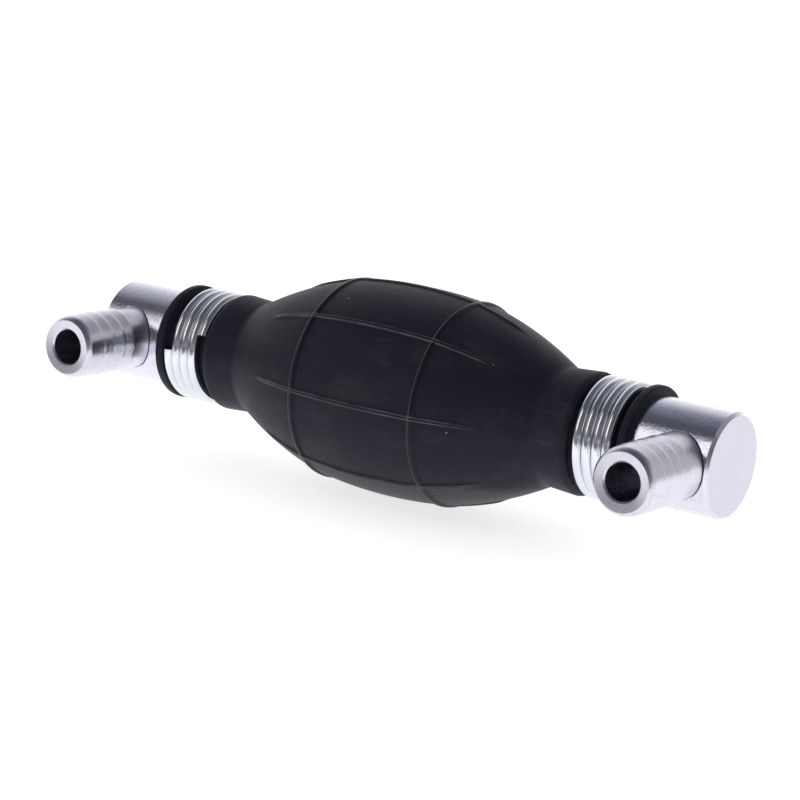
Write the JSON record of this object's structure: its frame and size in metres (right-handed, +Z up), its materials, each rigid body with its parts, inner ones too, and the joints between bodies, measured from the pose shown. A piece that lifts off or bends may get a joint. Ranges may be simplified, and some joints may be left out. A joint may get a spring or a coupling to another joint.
{
  "type": "siphon bulb pump",
  "caption": "Ribbed rubber squeeze bulb with wire-clamped turned metal elbows, right-angle hose barbs and a spring check valve in each end.",
  "frame": {"origin": "centre of the bulb, on the pump's axis", "axes": "+X along the bulb in the direction of flow, from the inlet end to the outlet end; both hose barbs point along -Y; +Z up"},
  "size_m": [0.142, 0.0495, 0.0424],
  "materials": {
    "rubber": "matte, moulded",
    "turned_aluminium": "turned, satin",
    "zinc_wire": "bright zinc plated",
    "valve_plastic": "moulded",
    "spring_steel": "drawn wire",
    "seal_rubber": "soft"
  },
  "bodies": {
    "pump": {"bulb": "rubber", "inlet_elbow": "turned_aluminium", "inlet_barb": "turned_aluminium", "inlet_clamp": "zinc_wire", "inlet_seat": "valve_plastic", "inlet_spring": "spring_steel", "inlet_cage": "valve_plastic", "outlet_elbow": "turned_aluminium", "outlet_barb": "turned_aluminium", "outlet_clamp": "zinc_wire", "outlet_seat": "valve_plastic", "outlet_spring": "spring_steel", "outlet_cage": "valve_plastic"},
    "front_wall": {"front_wall": "rubber"},
    "back_wall": {"back_wall": "rubber"},
    "inlet_valve": {"inlet_poppet": "valve_plastic", "inlet_seal": "seal_rubber"},
    "outlet_valve": {"outlet_poppet": "valve_plastic", "outlet_seal": "seal_rubber"}
  },
  "joints": [
    {"name": "front_squeeze", "type": "slide", "parent": "pump", "child": "front_wall", "axis": [0, 1, 0], "range_m": [0, 0.012], "stiffness_N_per_m": 1500},
    {"name": "back_squeeze", "type": "slide", "parent": "pump", "child": "back_wall", "axis": [0, -1, 0], "range_m": [0, 0.012], "stiffness_N_per_m": 1500},
    {"name": "inlet_valve_lift", "type": "slide", "parent": "pump", "child": "inlet_valve", "axis": [1, 0, 0], "range_m": [0, 0.003], "stiffness_N_per_m": 80, "springref_m": -0.002, "deforming": ["inlet_spring"]},
    {"name": "outlet_valve_lift", "type": "slide", "parent": "pump", "child": "outlet_valve", "axis": [1, 0, 0], "range_m": [0, 0.003], "stiffness_N_per_m": 80, "springref_m": -0.002, "deforming": ["outlet_spring"]}
  ]
}
